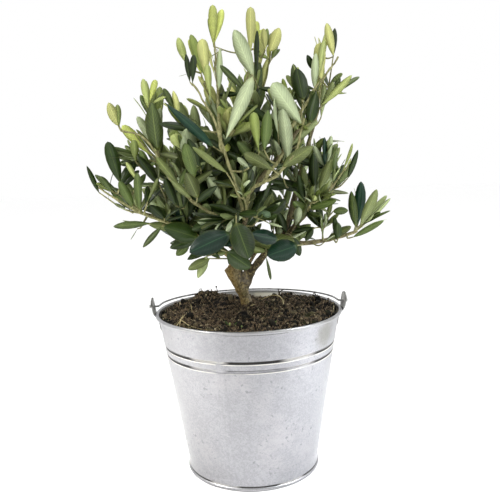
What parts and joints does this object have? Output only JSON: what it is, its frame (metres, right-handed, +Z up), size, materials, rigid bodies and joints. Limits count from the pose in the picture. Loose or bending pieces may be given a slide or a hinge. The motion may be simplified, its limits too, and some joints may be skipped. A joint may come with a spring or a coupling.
{
  "type": "potted olive tree",
  "caption": "Young olive tree with a short leaning trunk and an open, rounded crown, planted in peat in a round galvanised bucket with a folding wire handle.",
  "frame": {"origin": "on the bucket's vertical axis, at the level the foot ring stands on", "axes": "+Z up; +X to the right of the tree's front; +Y to its back, where the handle lies"},
  "size_m": [0.2543, 0.2105, 0.4031],
  "materials": {
    "zinc": "galvanised sheet with a soft, faintly mottled spangle",
    "wire": "drawn galvanised wire, slightly dulled",
    "peat": "dark moist peat with fibres, crumbs and pale straw",
    "bark": "olive brown to grey bark with knots and fine ridges",
    "leaf": "leathery leaves, dark green above and silvery grey-green beneath"
  },
  "bodies": {
    "planter": {"bough_back": "bark", "bough_back_left": "bark", "bough_back_right": "bark", "bough_centre": "bark", "bough_front": "bark", "bough_leader": "bark", "bough_leader_top": "bark", "bough_left_inner": "bark", "bough_left_low": "bark", "bough_left_mid": "bark", "bough_right_limb": "bark", "bough_right_low": "bark", "bough_right_mid": "bark", "bough_right_top": "bark", "bough_right_upper": "bark", "bucket_floor": "zinc", "bucket_wall": "zinc", "ear_left": "zinc", "ear_right": "zinc", "leaves_back_far": "leaf", "leaves_back_left_low": "leaf", "leaves_back_left_out": "leaf", "leaves_back_left_up": "leaf", "leaves_back_low": "leaf", "leaves_back_right_low": "leaf", "leaves_back_right_out": "leaf", "leaves_back_right_up": "leaf", "leaves_back_up": "leaf", "leaves_centre_right": "leaf", "leaves_centre_tip": "leaf", "leaves_front_left": "leaf", "leaves_front_right": "leaf", "leaves_front_tip": "leaf", "leaves_leader_top_front": "leaf", "leaves_leader_top_left": "leaf", "leaves_leader_top_tip": "leaf", "leaves_left_inner_tip": "leaf", "leaves_left_low_hang": "leaf", "leaves_left_low_side": "leaf", "leaves_left_low_tip": "leaf", "leaves_left_low_under": "leaf", "leaves_left_mid_front": "leaf", "leaves_left_mid_low": "leaf", "leaves_left_mid_out": "leaf", "leaves_left_mid_up": "leaf", "leaves_right_low_in": "leaf", "leaves_right_low_tip": "leaf", "leaves_right_low_up": "leaf", "leaves_right_mid_front": "leaf", "leaves_right_mid_tip": "leaf", "leaves_right_mid_up": "leaf", "leaves_right_top_side": "leaf", "leaves_right_top_tip": "leaf", "leaves_right_upper_inner": "leaf", "leaves_right_upper_out": "leaf", "leaves_right_upper_tip": "leaf", "soil": "peat", "trunk": "bark"},
    "bail": {"bail": "wire"}
  },
  "joints": [
    {"name": "bail_swing", "type": "hinge", "parent": "planter", "child": "bail", "pos_m": [0, 0, 0.147], "axis": [1, 0, 0], "range_deg": [0, 50]}
  ]
}
